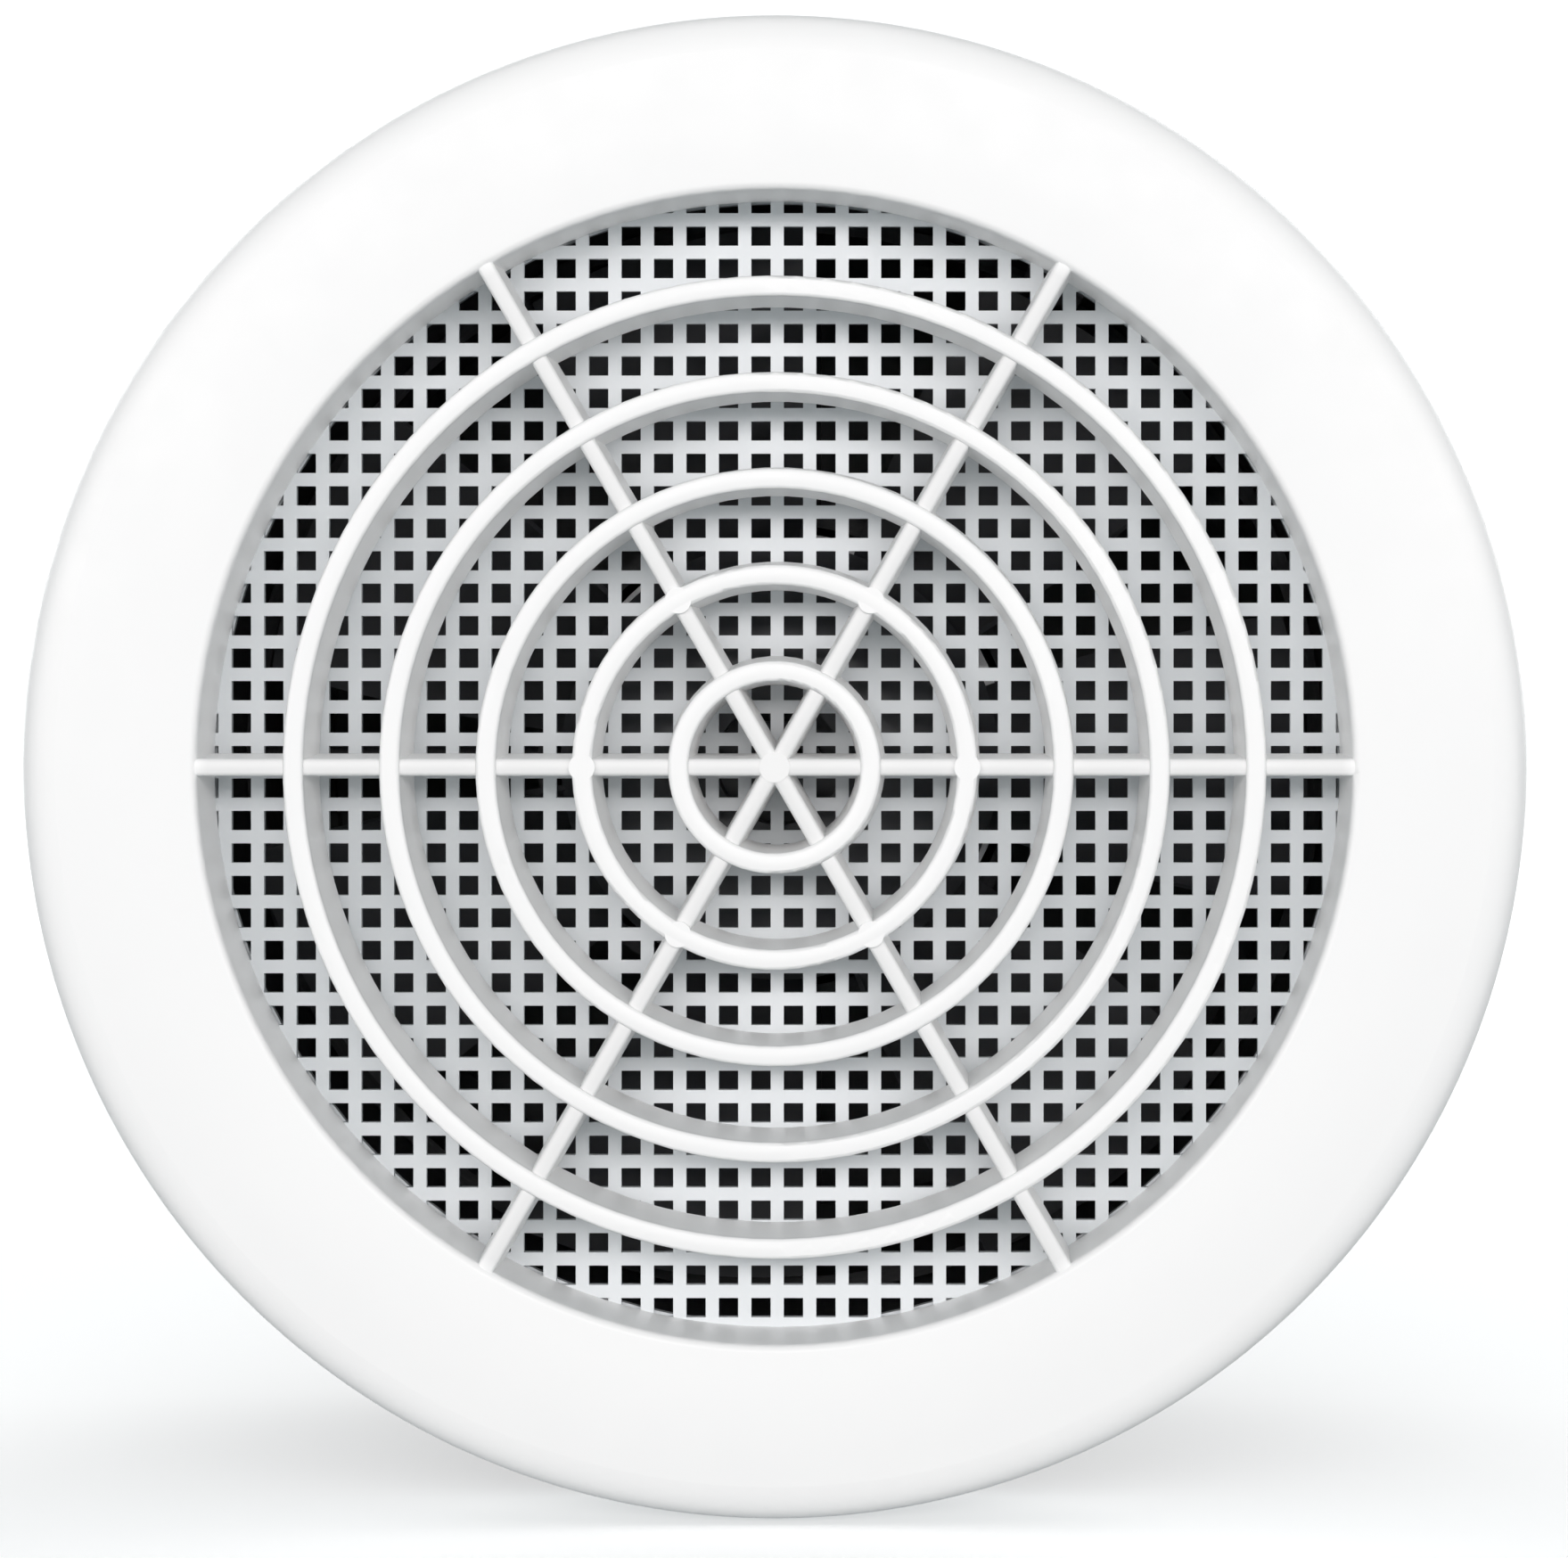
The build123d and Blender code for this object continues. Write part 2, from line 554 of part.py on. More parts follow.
for name, plate_face, mouth, inward in (
    ("motor_front_bell", BELL_FRONT, CORE_FRONT + 3, 1),
    ("motor_rear_bell", BELL_BACK, CORE_BACK - 3, -1),
):
    plate_inside = plate_face + inward * BELL_PLATE
    boss_end = plate_inside + inward * BEARING_LENGTH
    with BuildPart() as bell:
        revolve(band(BELL_R - BELL_WALL, BELL_R, plate_face, mouth), axis=Axis.Y)
        revolve(band(SHAFT_R + 0.7, BELL_R - 0.3, plate_face, plate_inside), axis=Axis.Y)
        revolve(band(BEARING_R + RUNNING_GAP, BEARING_BOSS_R, plate_face, boss_end), axis=Axis.Y)
        with BuildSketch(across(max(plate_face, plate_inside))):
            with PolarLocations(BOLT_CIRCLE_R, 3, FIXING_ANGLES[0]):
                Circle(BOLT_R + BOLT_GAP)
            # cooling holes
            with PolarLocations(12.5, 6, 0):
                Circle(2.6)
        extrude(amount=BELL_PLATE, mode=Mode.SUBTRACT)
        # way in for the leads
        with BuildSketch(radial(LEAD_ANGLE, BELL_R - 2, LEAD_TURN_Y)):
            Rectangle(2 * LEAD_R + 0.8, 5.2)
        extrude(amount=4, mode=Mode.SUBTRACT)
    save(bell, name)

with BuildPart() as stator_core:
    pole_root = CORE_R - CORE_RING + 0.6
    with BuildSketch(across(CORE_BACK)):
        Circle(CORE_R)
        Circle(CORE_R - CORE_RING, mode=Mode.SUBTRACT)
        with PolarLocations((ROTOR_R + pole_root) / 2, 4):
            Rectangle(pole_root - ROTOR_R, POLE_WIDTH)
        # the pole shoes spread out round the rotor
        with PolarLocations(ROTOR_R + 0.9, 4):
            Rectangle(2.2, POLE_WIDTH + 4.4)
        Circle(ROTOR_R + AIR_GAP, mode=Mode.SUBTRACT)
        with PolarLocations(BOLT_CIRCLE_R, 3, FIXING_ANGLES[0]):
            Circle(BOLT_R + BOLT_GAP, mode=Mode.SUBTRACT)
    extrude(amount=CORE_BACK - CORE_FRONT)
save(stator_core, "stator_core")

with BuildPart() as stator_coils:
    coil_length = CORE_BACK - CORE_FRONT + 2 * COIL_GAP
    coil_width = POLE_WIDTH + 2 * COIL_GAP
    for angle in (0, 90, 180, 270):
        with BuildSketch(radial(angle, ROTOR_R + 2.3, CORE_MID)):
            RectangleRounded(coil_length + 2 * COIL_WIDTH, coil_width + 2 * COIL_WIDTH, 2)
            Rectangle(coil_length, coil_width, mode=Mode.SUBTRACT)
        extrude(amount=2.6)
save(stator_coils, "stator_coils")

bearing_places = (
    ("front", BELL_FRONT + BELL_PLATE, BELL_FRONT + BELL_PLATE + BEARING_LENGTH),
    ("rear", BELL_BACK - BELL_PLATE - BEARING_LENGTH, BELL_BACK - BELL_PLATE),
)
for place, front, back in bearing_places:
    with BuildPart() as bearing:
        revolve(band(SHAFT_R + RUNNING_GAP, BEARING_R, front, back), axis=Axis.Y)
        chamfer(bearing.edges().filter_by(GeomType.CIRCLE), 0.3)
    save(bearing, f"{place}_bearing")
    clip_front = back if place == "front" else front - CLIP_THICK
    with BuildPart() as clip:
        clip_back = clip_front + CLIP_THICK
        revolve(band(SHAFT_R + 0.5, BEARING_BOSS_R - 0.2, clip_front, clip_back), axis=Axis.Y)
        # spring fingers
        with BuildSketch(across(clip_back)):
            with PolarLocations(BEARING_BOSS_R - 1.2, 6):
                Rectangle(1.3, 0.7)
        extrude(amount=CLIP_THICK, mode=Mode.SUBTRACT)
    save(clip, f"{place}_bearing_clip")

with BuildPart() as motor_through_bolts:
    with BuildSketch(across(PLATE_BACK + 4)):
        with PolarLocations(BOLT_CIRCLE_R, 3, FIXING_ANGLES[0]):
            Circle(BOLT_R)
    extrude(amount=PLATE_BACK + 4 - BELL_FRONT)
    with BuildSketch(across(BELL_FRONT)):
        with PolarLocations(BOLT_CIRCLE_R, 3, FIXING_ANGLES[0]):
            Circle(2.1)
            Rectangle(0.5, 4.4, mode=Mode.SUBTRACT)
    extrude(amount=1.1)
save(motor_through_bolts, "motor_through_bolts")

with BuildPart() as motor_bolt_nuts:
    with BuildSketch(across(PLATE_BACK + 3.3)):
        with PolarLocations(BOLT_CIRCLE_R, 3, FIXING_ANGLES[0]):
            RegularPolygon(2.5, 6, major_radius=False)
            Circle(BOLT_R + THREAD_GAP, mode=Mode.SUBTRACT)
    extrude(amount=2)
save(motor_bolt_nuts, "motor_bolt_nuts")

# ================================================================ rotor

with BuildPart() as rotor_core:
    revolve(band(SHAFT_R + PRESS_GAP, ROTOR_R, CORE_FRONT, CORE_BACK), axis=Axis.Y)
    # skewless bar slots, just under the surface
    with BuildSketch(across(CORE_BACK)):
        with PolarLocations(ROTOR_R, 17):
            Rectangle(1.2, 0.5)
    extrude(amount=CORE_BACK - CORE_FRONT, mode=Mode.SUBTRACT)
save(rotor_core, "rotor_core")

with BuildPart() as thrust_washers:
    for front in (CORE_FRONT - 0.85, CORE_BACK + 0.05):
        revolve(band(SHAFT_R + PRESS_GAP, 4.4, front, front + 0.8), axis=Axis.Y)
save(thrust_washers, "thrust_washers")

with BuildPart() as motor_shaft:
    shaft_back = BELL_BACK + 0.7
    revolve(
        outline(
            (0, -0.6),
            (2.05, -0.6),
            (SHAFT_R, -0.15),
            (SHAFT_R, shaft_back - 0.4),
            (SHAFT_R - 0.4, shaft_back),
            (0, shaft_back),
        ),
        axis=Axis.Y,
    )
save(motor_shaft, "motor_shaft")

with BuildPart() as blade:
    for radius, pitch, chord, camber in BLADE_SECTIONS:
        # in the section's plane x runs back along the axis and y round it
        chordwise = Vector(sin(radians(pitch)), cos(radians(pitch)))
        normal = Vector(cos(radians(pitch)), -sin(radians(pitch)))
        tip = chordwise * (chord / 2)
        edge_half = normal * (BLADE_EDGE / 2)
        with BuildSketch(radial(0, radius, BLADE_MID)):
            with BuildLine():
                hollow = ThreePointArc(edge_half - tip, normal * (camber + BLADE_THICK / 2), edge_half + tip)
                belly = ThreePointArc(tip - edge_half, normal * (camber - BLADE_THICK / 2), -tip - edge_half)
                Line(hollow @ 1, belly @ 0)
                Line(belly @ 1, hollow @ 0)
            make_face()
    loft()
    with BuildSketch(across(HUB_BACK + 10)):
        Circle(IMPELLER_R)
        Circle(HUB_R - HUB_WALL / 2, mode=Mode.SUBTRACT)
    extrude(amount=HUB_BACK + 20, mode=Mode.INTERSECT)

with BuildPart() as impeller:
    # domed hub, open at the back
    with BuildSketch(Plane.XY):
        with BuildLine():
            nose = Line((NUT_POCKET_R, HUB_NOSE), (BOSS_R, HUB_NOSE))
            cap = ThreePointArc(nose @ 1, (16.9, -0.6), (HUB_R, 3.6))
            inside = ThreePointArc((HUB_R - HUB_WALL, 4.6), (15.6, 1.1), (BOSS_R, -0.6))
            Polyline(cap @ 1, (HUB_R, HUB_BACK), (HUB_R - HUB_WALL, HUB_BACK), inside @ 0)
            Polyline(inside @ 1, (NUT_POCKET_R, 0), nose @ 0)
        make_face()
    revolve(axis=Axis.Y)
    revolve(band(NUT_POCKET_R, BOSS_R, HUB_NOSE + 1, NUT_SEAT + 1), axis=Axis.Y)
    revolve(band(SHAFT_R + PRESS_GAP, BOSS_R, NUT_SEAT, HUB_BACK - 1), axis=Axis.Y)
    for number in range(6):
        with BuildSketch(radial(number * 60 + 30, BOSS_R - 0.5, 11)):
            Rectangle(15, 1.4)
        extrude(amount=HUB_R - HUB_WALL / 2 - BOSS_R + 0.5)
    for number in range(BLADE_COUNT):
        add(blade.part, rotation=(0, number * 360 / BLADE_COUNT, 0))
save(impeller, "impeller")

with BuildPart() as impeller_nut:
    with BuildSketch(across(NUT_SEAT - 0.05)):
        RegularPolygon(4, 6, major_radius=False)
        Circle(SHAFT_R + THREAD_GAP, mode=Mode.SUBTRACT)
    extrude(amount=3)
save(impeller_nut, "impeller_nut")

# ================================================================ back-draught shutter

with BuildPart() as shutter_frame:
    revolve(band(FRAME_INNER_R, FRAME_R, FRAME_FRONT, FRAME_BACK), axis=Axis.Y)
    revolve(band(LEDGE_R, FRAME_INNER_R + 0.5, FRAME_FRONT, LEDGE_BACK), axis=Axis.Y)
    with BuildSketch(across(LEDGE_BACK)):
        Rectangle(POST_WIDTH, 2 * LEDGE_R + 2)
    extrude(amount=LEDGE_BACK - FRAME_FRONT)
    with BuildSketch(Plane.XY):
        with Locations((0, PIN_Y)):
            Circle(PIN_R + RUNNING_GAP)
    extrude(amount=FRAME_R + 1, both=True, mode=Mode.SUBTRACT)
save(shutter_frame, "shutter_frame")

with BuildPart() as shutter_pin:
    with BuildSketch(Plane.XY):
        with Locations((0, PIN_Y)):
            Circle(PIN_R)
    extrude(amount=PIN_LENGTH / 2, both=True)
save(shutter_pin, "shutter_pin")

for hand, side in (("right", 1), ("left", -1)):
    with BuildPart() as flap:
        with BuildSketch(across(FLAP_BACK)):
            Circle(FLAP_R)
            with Locations((side * (FLAP_EDGE - FLAP_R), 0)):
                Rectangle(2 * FLAP_R, 2 * FLAP_R, mode=Mode.SUBTRACT)
        extrude(amount=FLAP_BACK - FLAP_FRONT)
        # stiffening ribs on the back
        with BuildSketch(across(FLAP_BACK + 0.9)):
            for rib_z in FLAP_RIBS:
                with Locations((side * 20, rib_z)):
                    Rectangle(30, 1.2)
        extrude(amount=1.2)
        for middle in KNUCKLES:
            with BuildSketch(Plane.XY.offset(side * middle - KNUCKLE_LENGTH / 2)):
                with Locations((0, PIN_Y)):
                    Circle(KNUCKLE_R)
                with Locations((side * (FLAP_EDGE + 1) / 2, (PIN_Y - KNUCKLE_R + FLAP_BACK) / 2)):
                    Rectangle(FLAP_EDGE + 1, FLAP_BACK - PIN_Y + KNUCKLE_R)
            extrude(amount=KNUCKLE_LENGTH)
        with BuildSketch(Plane.XY):
            with Locations((0, PIN_Y)):
                Circle(PIN_R + RUNNING_GAP)
        extrude(amount=FLAP_R, both=True, mode=Mode.SUBTRACT)
    save(flap, f"flap_{hand}")

    low_end, high_end = sorted(side * end for end in SPRING_ENDS)
    leg_end = side * (SPRING_ENDS[1] - SPRING_WIRE)
    leg_start_x = 1.45
    leg_middle_y = FLAP_BACK + RUNNING_GAP + SPRING_WIRE / 2
    with BuildPart() as spring:
        with BuildSketch(Plane.XY.offset(low_end)):
            with Locations((0, PIN_Y)):
                Circle(SPRING_R)
                Circle(SPRING_R - SPRING_WIRE, mode=Mode.SUBTRACT)
        extrude(amount=high_end - low_end)
        # the leg that presses on the flap
        with BuildSketch(Plane.XY.offset(leg_end - SPRING_WIRE / 2)):
            with Locations((side * (leg_start_x + SPRING_LEG) / 2, leg_middle_y)):
                Rectangle(SPRING_LEG - leg_start_x, SPRING_WIRE)
        extrude(amount=SPRING_WIRE)
    save(spring, f"flap_spring_{hand}")
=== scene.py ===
import json
import math

import bmesh
import bpy
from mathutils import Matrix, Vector


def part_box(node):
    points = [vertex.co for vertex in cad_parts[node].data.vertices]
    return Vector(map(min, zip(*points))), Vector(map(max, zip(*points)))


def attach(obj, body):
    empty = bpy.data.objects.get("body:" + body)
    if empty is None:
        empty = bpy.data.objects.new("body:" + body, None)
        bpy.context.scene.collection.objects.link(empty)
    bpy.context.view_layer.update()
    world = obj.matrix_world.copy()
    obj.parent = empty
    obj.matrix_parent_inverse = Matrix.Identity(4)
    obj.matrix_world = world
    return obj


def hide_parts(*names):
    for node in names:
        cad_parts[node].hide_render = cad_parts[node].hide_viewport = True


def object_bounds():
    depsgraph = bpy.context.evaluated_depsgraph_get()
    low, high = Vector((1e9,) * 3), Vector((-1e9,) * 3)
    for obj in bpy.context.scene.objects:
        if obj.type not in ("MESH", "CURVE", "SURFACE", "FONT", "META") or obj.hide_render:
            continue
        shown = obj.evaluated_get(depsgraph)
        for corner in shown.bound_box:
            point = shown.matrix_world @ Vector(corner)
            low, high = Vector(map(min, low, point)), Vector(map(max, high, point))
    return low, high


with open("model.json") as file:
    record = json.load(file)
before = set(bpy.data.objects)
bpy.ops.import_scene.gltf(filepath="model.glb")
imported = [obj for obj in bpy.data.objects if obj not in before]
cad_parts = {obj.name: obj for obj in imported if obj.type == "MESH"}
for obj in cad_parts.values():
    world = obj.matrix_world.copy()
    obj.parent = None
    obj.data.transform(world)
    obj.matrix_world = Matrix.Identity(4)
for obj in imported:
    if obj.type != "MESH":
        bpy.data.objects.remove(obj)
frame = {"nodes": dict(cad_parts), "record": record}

# Looks for the wall-mounted extractor fan. Metres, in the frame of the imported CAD: the fan axis is Y,
# -Y faces the room, +Z is up. Every CAD node keeps its own mesh, apart from the shutter's two springs,
# which are replaced by wound wire.

cad_low, cad_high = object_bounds()
CREST_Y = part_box("front_grille")[0].y  # the face's foremost plane
MM = 0.001


# ---------------------------------------------------------------- materials

class Surface:
    """A procedural material: one Principled shader, and the nodes that feed it."""

    def __init__(self, name, colour, roughness, **sockets):
        self.material = bpy.data.materials.new(name)
        self.material.use_nodes = True
        self.tree = self.material.node_tree
        self.shader = self.tree.nodes["Principled BSDF"]
        self.colour = tuple(colour) + (1.0,)
        self.material.diffuse_color = self.colour
        self.shader.inputs["Base Color"].default_value = self.colour
        self.shader.inputs["Roughness"].default_value = roughness
        for socket, value in sockets.items():
            self.shader.inputs[socket.replace("_", " ")].default_value = value
        self.place = self.node("ShaderNodeTexCoord").outputs["Object"]
        self.normal = None

    def node(self, kind, inputs=(), **settings):
        made = self.tree.nodes.new(kind)
        for name, value in settings.items():
            setattr(made, name, value)
        for socket, value in dict(inputs).items():
            if isinstance(value, bpy.types.NodeSocket):
                self.tree.links.new(value, made.inputs[socket])
            else:
                made.inputs[socket].default_value = value
        return made

    def math(self, operation, first, second=0.0):
        return self.node("ShaderNodeMath", {0: first, 1: second}, operation=operation).outputs[0]

    def stretch(self, scale):
        """The object coordinates, scaled by a different amount along each axis."""
        return self.node("ShaderNodeMapping", {"Vector": self.place, "Scale": scale}).outputs[0]

    def around_axis(self, radial=1.0, turning=1.0, along=1.0):
        """Coordinates that follow the fan axis: radius, angle and place along it."""
        parts = self.node("ShaderNodeSeparateXYZ", {0: self.place}).outputs
        x_squared = self.math("MULTIPLY", parts[0], parts[0])
        z_squared = self.math("MULTIPLY", parts[2], parts[2])
        distance = self.math("SQRT", self.math("ADD", x_squared, z_squared))
        radius = self.math("MULTIPLY", distance, radial)
        angle = self.math("MULTIPLY", self.math("ARCTAN2", parts[2], parts[0]), turning)
        depth = self.math("MULTIPLY", parts[1], along)
        return self.node("ShaderNodeCombineXYZ", {0: radius, 1: angle, 2: depth}).outputs[0]

    def noise(self, scale, detail=3.0, roughness=0.55, place=None, distortion=0.0):
        return self.node(
            "ShaderNodeTexNoise",
            {"Vector": place or self.place, "Scale": scale, "Detail": detail, "Roughness": roughness,
             "Distortion": distortion},
        ).outputs[0]

    def cells(self, scale, feature="F1", place=None, output="Distance", randomness=1.0):
        return self.node(
            "ShaderNodeTexVoronoi",
            {"Vector": place or self.place, "Scale": scale, "Randomness": randomness},
            feature=feature,
        ).outputs[output]

    def wave(self, scale, direction="Y", distortion=0.0, place=None):
        return self.node(
            "ShaderNodeTexWave",
            {"Vector": place or self.place, "Scale": scale, "Distortion": distortion, "Detail": 2.0},
            bands_direction=direction,
        ).outputs["Fac"]

    def spread(self, value, low, high, start=0.0, stop=1.0):
        """Maps start..stop of a value to low..high."""
        return self.node("ShaderNodeMapRange", {0: value, 1: start, 2: stop, 3: low, 4: high}).outputs[0]

    def tint(self, value, *stops):
        """Feeds the base colour: the material's own colour times a grey or coloured factor per stop."""
        ramp = self.node("ShaderNodeValToRGB", {0: value})
        elements = ramp.color_ramp.elements
        while len(elements) < len(stops):
            elements.new(0.5)
        for element, (position, factor) in zip(elements, stops):
            factors = factor if isinstance(factor, tuple) else (factor,) * 3
            element.position = position
            element.color = tuple(min(c * f, 1.0) for c, f in zip(self.colour, factors)) + (1.0,)
        self.tree.links.new(ramp.outputs[0], self.shader.inputs["Base Color"])
        return self

    def shade(self, factor):
        """Multiplies the base colour."""
        socket = self.shader.inputs["Base Color"]
        scaled = self.node(
            "ShaderNodeVectorMath", {0: socket.links[0].from_socket, "Scale": factor}, operation="SCALE"
        )
        self.tree.links.new(scaled.outputs[0], socket)
        return self

    def rough(self, value, low, high, start=0.3, stop=0.7):
        self.tree.links.new(self.spread(value, low, high, start, stop), self.shader.inputs["Roughness"])
        return self

    def bump(self, value, depth, strength=1.0):
        """Adds relief. Depth is in metres."""
        inputs = {"Height": value, "Distance": depth, "Strength": strength}
        if self.normal is not None:
            inputs["Normal"] = self.normal
        self.normal = self.node("ShaderNodeBump", inputs).outputs[0]
        self.tree.links.new(self.normal, self.shader.inputs["Normal"])
        return self


def record_colour(slot):
    row = next(m for m in frame["record"]["materials"] if m["slot"] == slot)
    return row["base_color"]


def moulded(slot, roughness, grain, depth, mottle=0.02, gloss_spread=0.06, **sockets):
    """Moulded plastic: spark-eroded grain, faint flow mottling and uneven gloss."""
    s = Surface(slot, record_colour(slot), roughness, **sockets)
    flow = s.noise(70, 4.0, 0.6, distortion=0.6)
    s.tint(flow, (0.25, 1 - mottle), (0.75, 1 + mottle))
    s.rough(s.noise(900, 4.0), roughness - gloss_spread, roughness + gloss_spread)
    s.bump(s.noise(grain, 2.0, 0.5), depth)
    return s


def metal(slot, roughness, **sockets):
    return Surface(slot, record_colour(slot), roughness, Metallic=1.0, **sockets)


surfaces = {}

SPOKE_PAINTED_SHADE = 0.90  # painted shade: how bright the spokes' crowns are painted, next to the rings'
OPENING_R = 55.1 * MM
SPOKE_CROWN = (0.25 * MM, 0.45 * MM)  # behind the crest: where the painted shade sets in and is full
SPOKE_SIDE = (0.8 * MM, 1.2 * MM)  # where it begins to fade and has gone

# the face: satin-gloss white, very slightly uneven as thick mouldings are, with painted shade along the
# crowns of the spokes, which lie behind the rings'
face = Surface("white_gloss", record_colour("white_gloss"), 0.42)
face.tint(face.noise(28, 3.0, 0.5), (0.2, (0.985, 0.986, 0.990)), (0.8, 1.01))
radius, _, depth = face.node("ShaderNodeSeparateXYZ", {0: face.around_axis()}).outputs
painted_shade_band = face.math(
    "MULTIPLY",
    face.spread(depth, 0.0, 1.0, *(CREST_Y + place for place in SPOKE_CROWN)),
    face.spread(depth, 1.0, 0.0, *(CREST_Y + place for place in SPOKE_SIDE)),
)
inside = face.spread(radius, 1.0, 0.0, OPENING_R - 1.0 * MM, OPENING_R)
# painted shade darkens the base colour inside the opening, 0.25 to 1.2 mm behind the crest, on the
# spokes' crowns
face.shade(face.spread(face.math("MULTIPLY", painted_shade_band, inside), 1.0, SPOKE_PAINTED_SHADE))
face.rough(face.noise(220, 3.0), 0.38, 0.48)
face.bump(face.noise(60, 2.0, 0.4), 0.05 * MM, 0.25)
face.bump(face.noise(2600, 2.0, 0.5), 0.006 * MM, 0.5)
surfaces["white_gloss"] = face

screen = Surface("screen_white", record_colour("screen_white"), 0.5)
# painted shade: the screen's colour is scaled down to 0.84-0.88 of its own for its depth behind the
# face, a little bluer and mottled at random
screen.tint(screen.noise(90, 3.0, 0.6), (0.25, (0.84, 0.865, 0.875)), (0.75, (0.88, 0.905, 0.915)))
screen.rough(screen.noise(500, 3.0), 0.42, 0.58)
screen.bump(screen.noise(1800, 2.0, 0.5), 0.012 * MM, 0.6)
surfaces["screen_white"] = screen

surfaces["charcoal_plastic"] = moulded("charcoal_plastic", 0.52, 3800, 0.025 * MM, 0.04, 0.03)
surfaces["impeller_plastic"] = moulded("impeller_plastic", 0.38, 900, 0.006 * MM, 0.05)
surfaces["flap_plastic"] = moulded("flap_plastic", 0.5, 3000, 0.012 * MM, 0.06)
surfaces["terminal_nylon"] = moulded(
    "terminal_nylon", 0.42, 1500, 0.006 * MM, 0.03, Subsurface_Weight=0.15
)
surfaces["washer_nylon"] = moulded("washer_nylon", 0.45, 2000, 0.006 * MM, 0.03)

# glass-filled: short streaks of fibre just under the skin
carrier = Surface("carrier_plastic", record_colour("carrier_plastic"), 0.5)
fibre = carrier.noise(1.0, 4.0, 0.65, place=carrier.around_axis(3000, 30, 500))
carrier.tint(fibre, (0.35, 0.75), (0.62, 1.05), (0.72, 1.7))
carrier.rough(fibre, 0.42, 0.62).bump(fibre, 0.012 * MM, 0.7)
surfaces["carrier_plastic"] = carrier

# closed-cell foam: cut cells, each painted darker towards its sunken middle as painted shade in the
# hollow
foam = Surface("foam", record_colour("foam"), 0.95)
pores = foam.cells(2600)
foam.tint(pores, (0.05, 0.45), (0.5, 1.0), (0.9, 1.25)).bump(pores, 0.16 * MM, 0.9)
foam.bump(foam.noise(700, 3.0), 0.10 * MM, 0.6)
surfaces["foam"] = foam

rubber = Surface("rubber_black", record_colour("rubber_black"), 0.78)
bloom = rubber.noise(400, 4.0, 0.6)
rubber.tint(bloom, (0.35, 0.85), (0.7, 1.5)).rough(bloom, 0.68, 0.86)
rubber.bump(rubber.noise(3000, 2.0), 0.01 * MM)
surfaces["rubber_black"] = rubber

for slot in ("brown_insulation", "blue_insulation"):
    pvc = Surface(slot, record_colour(slot), 0.34)
    skin = pvc.noise(700, 3.0, 0.5)
    pvc.tint(skin, (0.3, 0.9), (0.7, 1.08)).rough(skin, 0.28, 0.42).bump(skin, 0.01 * MM)
    surfaces[slot] = pvc

# zinc plate with a faint blue and straw passivation
zinc = metal("zinc_steel", 0.3)
zinc.tint(zinc.noise(260, 3.0), (0.25, (0.62, 0.66, 0.72)), (0.5, 0.67), (0.75, (0.71, 0.67, 0.59)))
zinc.rough(zinc.noise(1500, 3.0), 0.30, 0.48).bump(zinc.noise(2500, 2.0), 0.004 * MM)
surfaces["zinc_steel"] = zinc

spring = metal("spring_steel", 0.3)
drawn = spring.noise(1.0, 3.0, 0.6, place=spring.stretch((4000, 4000, 300)))
spring.tint(drawn, (0.3, 0.85), (0.7, 1.12)).rough(drawn, 0.2, 0.42).bump(drawn, 0.003 * MM)
surfaces["spring_steel"] = spring

ground = metal("ground_steel", 0.2)
rings = ground.noise(1.0, 2.0, 0.6, place=ground.around_axis(2500, 1.0, 9000))
ground.tint(rings, (0.3, 0.9), (0.7, 1.06)).rough(rings, 0.14, 0.3).bump(rings, 0.002 * MM)
surfaces["ground_steel"] = ground

# galvanised sheet: spangle cells, with light draw marks from the press
bell = metal("bell_metal", 0.36)
spangle = bell.cells(420, output="Color")
draw = bell.noise(1.0, 3.0, 0.6, place=bell.around_axis(900, 60, 250))
bell.tint(bell.math("ADD", bell.math("MULTIPLY", spangle, 0.6), bell.math("MULTIPLY", draw, 0.4)),
          (0.25, 0.78), (0.75, 1.14))
bell.rough(spangle, 0.28, 0.46, 0.2, 0.8).bump(draw, 0.006 * MM)
surfaces["bell_metal"] = bell

# laminations under a thin varnish, one to each light or dark band of the wave
LAMINATION = 0.5 * MM
core = metal("lamination_steel", 0.42, Coat_Weight=0.3, Coat_Roughness=0.25)
sheets = core.wave(math.pi / 20 / LAMINATION, "Y", 0.4)
core.tint(core.math("MULTIPLY", sheets, core.spread(core.noise(300), 0.8, 1.2)), (0.1, 0.55), (0.7, 1.1))
core.rough(core.noise(900), 0.34, 0.52).bump(sheets, 0.03 * MM, 0.8)
surfaces["lamination_steel"] = core

rotor = metal("rotor_alloy", 0.34)
turned = rotor.noise(1.0, 2.0, 0.6, place=rotor.around_axis(5000, 0.5, 5000))
rotor.tint(turned, (0.3, 0.85), (0.7, 1.1)).rough(turned, 0.24, 0.44).bump(turned, 0.006 * MM)
surfaces["rotor_alloy"] = rotor

copper = metal("copper_winding", 0.26, Coat_Weight=0.6, Coat_Roughness=0.12)
enamel = copper.noise(500, 3.0)
copper.tint(enamel, (0.3, (0.85, 0.8, 0.8)), (0.7, (1.08, 1.05, 1.0))).rough(enamel, 0.2, 0.36)
copper.bump(copper.noise(2000), 0.004 * MM)
surfaces["copper_winding"] = copper

bronze = metal("sintered_bronze", 0.5)
grains = bronze.cells(6000)
# painted shade: each grain cell is painted darker towards its sunken middle
bronze.tint(grains, (0.1, 0.6), (0.6, 1.1)).rough(bronze.noise(800), 0.4, 0.6)
bronze.bump(grains, 0.03 * MM, 0.8)
surfaces["sintered_bronze"] = bronze

